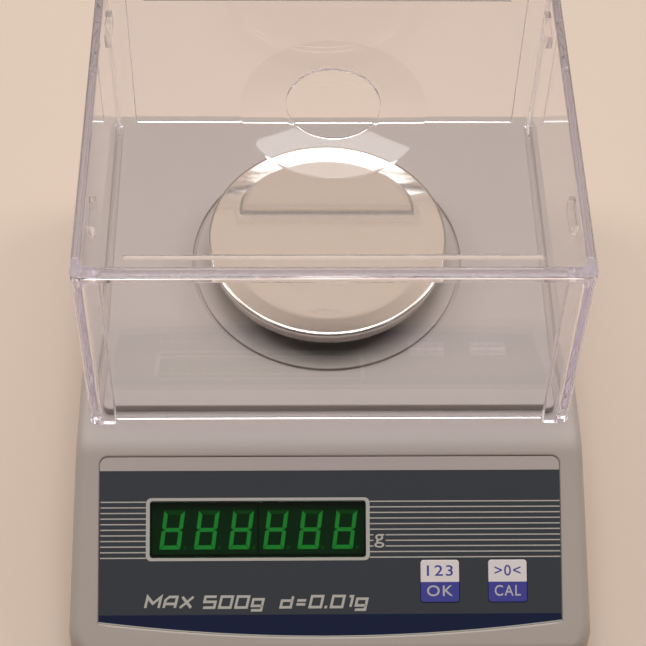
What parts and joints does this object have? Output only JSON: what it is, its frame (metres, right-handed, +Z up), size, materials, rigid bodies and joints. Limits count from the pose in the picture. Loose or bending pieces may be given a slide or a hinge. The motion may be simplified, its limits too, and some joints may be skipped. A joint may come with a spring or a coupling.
{
  "type": "electronic balance",
  "caption": "Tabletop electronic balance: round steel pan under a clear lift-off draft shield with a domed lid, sloping panel with green digit display and keys.",
  "frame": {"origin": "on the table, under the middle of the whole balance", "axes": "+Z up, front panel faces -Y, +X to the user's right"},
  "size_m": [0.1976, 0.242, 0.1547],
  "materials": {
    "casing_plastic": "warm grey moulded ABS, fine satin texture",
    "tray_plastic": "warm grey moulded ABS, fine texture",
    "label_film": "slate printed membrane with pale upper strip, navy lower strip and silver lines",
    "window_filter": "dark green filter window, smooth",
    "circuit_board": "green solder mask",
    "digit_blocks": "dark potted digit blocks with green segments",
    "key_film": "printed film, pinkish white above indigo",
    "black_plastic": "black moulded plastic",
    "rocker_plastic": "black polished rocker",
    "alloy": "milled",
    "cast_alloy": "die cast",
    "tinned_steel": "tin plate",
    "screw_steel": "zinc plated",
    "pan_steel": "polished stainless steel",
    "cable_grey": "grey insulation",
    "foot_rubber": "moulded rubber",
    "clear_plastic": "clear moulded styrene, faint lavender tint"
  },
  "bodies": {
    "base": {"lower_housing": "tray_plastic", "upper_housing": "casing_plastic", "front_label": "label_film", "display_window": "window_filter", "display_board": "circuit_board", "digit_module_left": "digit_blocks", "digit_module_right": "digit_blocks", "key_switch_left": "black_plastic", "key_switch_right": "black_plastic", "board_post_left": "alloy", "board_post_right": "alloy", "main_board": "circuit_board", "processor_chip": "black_plastic", "converter_can": "tinned_steel", "reservoir_capacitor": "black_plastic", "heat_sink": "alloy", "board_header": "black_plastic", "display_ribbon": "cable_grey", "power_inlet": "black_plastic", "rocker_frame": "black_plastic", "load_cell": "alloy", "cell_plate": "cast_alloy", "cell_spacer": "alloy", "cell_lead": "cable_grey", "overload_stop": "screw_steel", "cell_screw_left": "screw_steel", "cell_screw_right": "screw_steel", "casing_screw_front_left": "screw_steel", "casing_screw_front_right": "screw_steel", "casing_screw_back_left": "screw_steel", "casing_screw_back_right": "screw_steel"},
    "pan_carrier": {"pan_support": "alloy", "support_screw_front": "screw_steel", "support_screw_back": "screw_steel"},
    "pan": {"weighing_pan": "pan_steel"},
    "draft_shield": {"shield_post_front_left": "clear_plastic", "shield_post_front_right": "clear_plastic", "shield_post_back_left": "clear_plastic", "shield_post_back_right": "clear_plastic", "shield_front": "clear_plastic", "shield_back": "clear_plastic", "shield_left": "clear_plastic", "shield_right": "clear_plastic"},
    "lid": {"shield_lid": "clear_plastic"},
    "left_key": {"key_left": "key_film"},
    "right_key": {"key_right": "key_film"},
    "power_switch": {"power_rocker": "rocker_plastic"},
    "foot_front_left": {"levelling_foot_front_left": "black_plastic", "foot_pad_front_left": "foot_rubber"},
    "foot_front_right": {"levelling_foot_front_right": "black_plastic", "foot_pad_front_right": "foot_rubber"},
    "foot_back_left": {"levelling_foot_back_left": "black_plastic", "foot_pad_back_left": "foot_rubber"},
    "foot_back_right": {"levelling_foot_back_right": "black_plastic", "foot_pad_back_right": "foot_rubber"}
  },
  "joints": [
    {"name": "pan_load", "type": "slide", "parent": "base", "child": "pan_carrier", "axis": [0, 0, -1], "range_m": [0, 0.00025], "stiffness_N_per_m": 20000, "springref_m": -0.00005},
    {"name": "pan_lift", "type": "slide", "parent": "pan_carrier", "child": "pan", "axis": [0, 0, 1], "range_m": [0, 0.05]},
    {"name": "shield_lift", "type": "slide", "parent": "base", "child": "draft_shield", "axis": [0, 0, 1], "range_m": [0, 0.12]},
    {"name": "lid_lift", "type": "slide", "parent": "draft_shield", "child": "lid", "axis": [0, 0, 1], "range_m": [0, 0.05]},
    {"name": "left_key_press", "type": "slide", "parent": "base", "child": "left_key", "axis": [0, 0.5, -0.866], "range_m": [0, 0.0005], "stiffness_N_per_m": 1200},
    {"name": "right_key_press", "type": "slide", "parent": "base", "child": "right_key", "axis": [0, 0.5, -0.866], "range_m": [0, 0.0005], "stiffness_N_per_m": 1200},
    {"name": "power_rock", "type": "hinge", "parent": "base", "child": "power_switch", "pos_m": [-0.062, 0.11556, 0.0332], "axis": [1, 0, 0], "range_deg": [-16, 0]},
    {"name": "level_front_left", "type": "hinge", "parent": "base", "child": "foot_front_left", "pos_m": [-0.072, -0.09504, 0], "axis": [0, 0, 1], "continuous": true},
    {"name": "level_front_right", "type": "hinge", "parent": "base", "child": "foot_front_right", "pos_m": [0.072, -0.09504, 0], "axis": [0, 0, 1], "continuous": true},
    {"name": "level_back_left", "type": "hinge", "parent": "base", "child": "foot_back_left", "pos_m": [-0.072, 0.09096, 0], "axis": [0, 0, 1], "continuous": true},
    {"name": "level_back_right", "type": "hinge", "parent": "base", "child": "foot_back_right", "pos_m": [0.072, 0.09096, 0], "axis": [0, 0, 1], "continuous": true}
  ]
}
